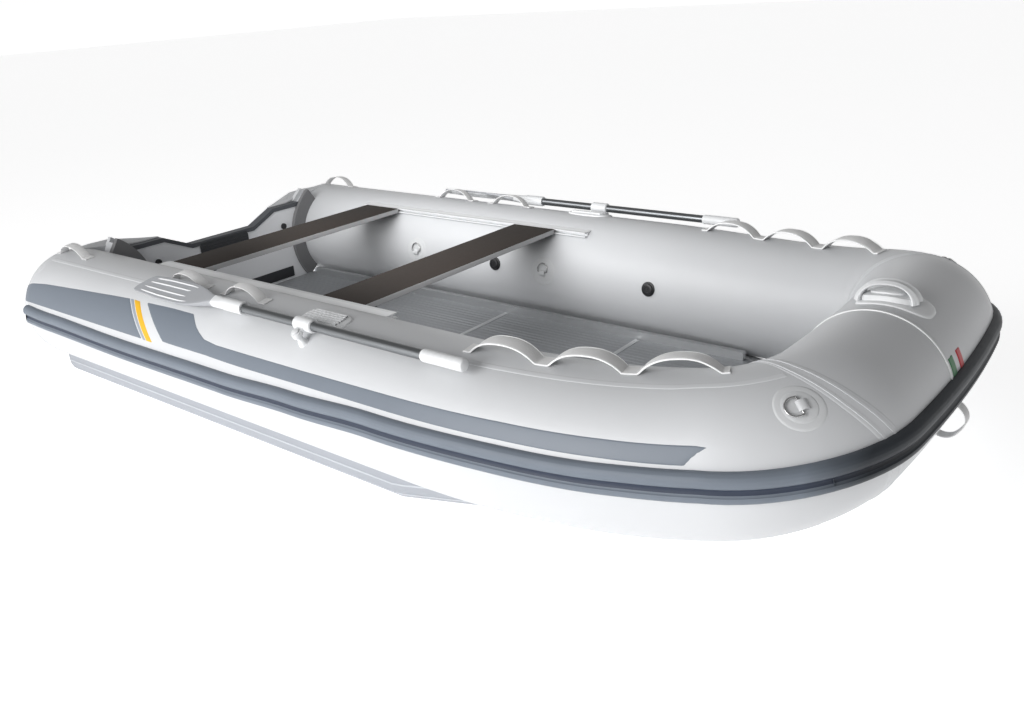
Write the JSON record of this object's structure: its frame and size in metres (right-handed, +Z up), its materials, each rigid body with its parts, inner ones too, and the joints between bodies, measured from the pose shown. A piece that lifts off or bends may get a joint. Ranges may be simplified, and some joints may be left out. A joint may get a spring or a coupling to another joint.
{
  "type": "inflatable dinghy",
  "caption": "Inflatable dinghy with round side tubes, a rounded bow, a boarded aluminium floor, a transom for a motor, sliding seats and oars on pivots.",
  "frame": {"origin": "on the ground under the middle of the boat, midway between bow and stern", "axes": "+X to the bow, +Y to port, +Z up"},
  "size_m": [3.4311, 1.8484, 0.675],
  "materials": {
    "hull_fabric": "satin light grey coated fabric",
    "rubber_grey": "matt dark blue grey rubber",
    "light_rubber": "matt light grey rubber",
    "aluminium_board": "ribbed mill finish",
    "transom_board": "grey painted plywood",
    "seat_board": "dark brown coated seat board",
    "white_plastic": "white moulded plastic",
    "dark_plastic": "black moulded plastic",
    "shaft_aluminium": "anodised tube",
    "webbing": "light grey webbing",
    "steel": "stainless steel"
  },
  "bodies": {
    "boat": {"bow_handle": "white_plastic", "bow_loop": "webbing", "bow_straps_port": "webbing", "bow_straps_starboard": "webbing", "d_rings_port": "light_rubber", "d_rings_starboard": "light_rubber", "floor_board_aft": "aluminium_board", "floor_board_bow": "aluminium_board", "floor_board_forward": "aluminium_board", "floor_board_middle": "aluminium_board", "grab_handles_port": "webbing", "grab_handles_starboard": "webbing", "hull_bottom": "hull_fabric", "keel_strip": "rubber_grey", "motor_pad_inside": "dark_plastic", "motor_pad_outside": "dark_plastic", "rowlock_base_port": "white_plastic", "rowlock_base_starboard": "white_plastic", "rub_strake_bow": "rubber_grey", "rub_strake_port": "rubber_grey", "rub_strake_starboard": "rubber_grey", "seat_track_port": "white_plastic", "seat_track_starboard": "white_plastic", "speed_tube_port": "hull_fabric", "speed_tube_starboard": "hull_fabric", "stringer_port": "aluminium_board", "stringer_starboard": "aluminium_board", "tow_eyes_port": "steel", "tow_eyes_starboard": "steel", "transom": "transom_board", "transom_holder_port": "rubber_grey", "transom_holder_starboard": "rubber_grey", "transom_trim": "dark_plastic", "tube_bow": "hull_fabric", "tube_port": "hull_fabric", "tube_starboard": "hull_fabric", "valves_port": "dark_plastic", "valves_starboard": "dark_plastic"},
    "oar_starboard": {"oar_blade_starboard": "white_plastic", "oar_collar_starboard": "white_plastic", "oar_grip_starboard": "white_plastic", "oar_shaft_starboard": "shaft_aluminium"},
    "oar_port": {"oar_blade_port": "white_plastic", "oar_collar_port": "white_plastic", "oar_grip_port": "white_plastic", "oar_shaft_port": "shaft_aluminium"},
    "seat_aft": {"thwart_aft": "seat_board"},
    "seat_forward": {"thwart_forward": "seat_board"}
  },
  "joints": [
    {"name": "oar_pivot_starboard", "type": "hinge", "parent": "boat", "child": "oar_starboard", "pos_m": [0.061, -0.81695, 0.50488], "axis": [0, -0.4695, 0.8829], "range_deg": [0, 115]},
    {"name": "oar_pivot_port", "type": "hinge", "parent": "boat", "child": "oar_port", "pos_m": [0.061, 0.81695, 0.50488], "axis": [0, -0.4695, -0.8829], "range_deg": [0, 115]},
    {"name": "seat_slide_aft", "type": "slide", "parent": "boat", "child": "seat_aft", "axis": [1, 0, 0], "range_m": [0, 0.35]},
    {"name": "seat_slide_forward", "type": "slide", "parent": "boat", "child": "seat_forward", "axis": [1, 0, 0], "range_m": [-0.15, 0.12]}
  ]
}
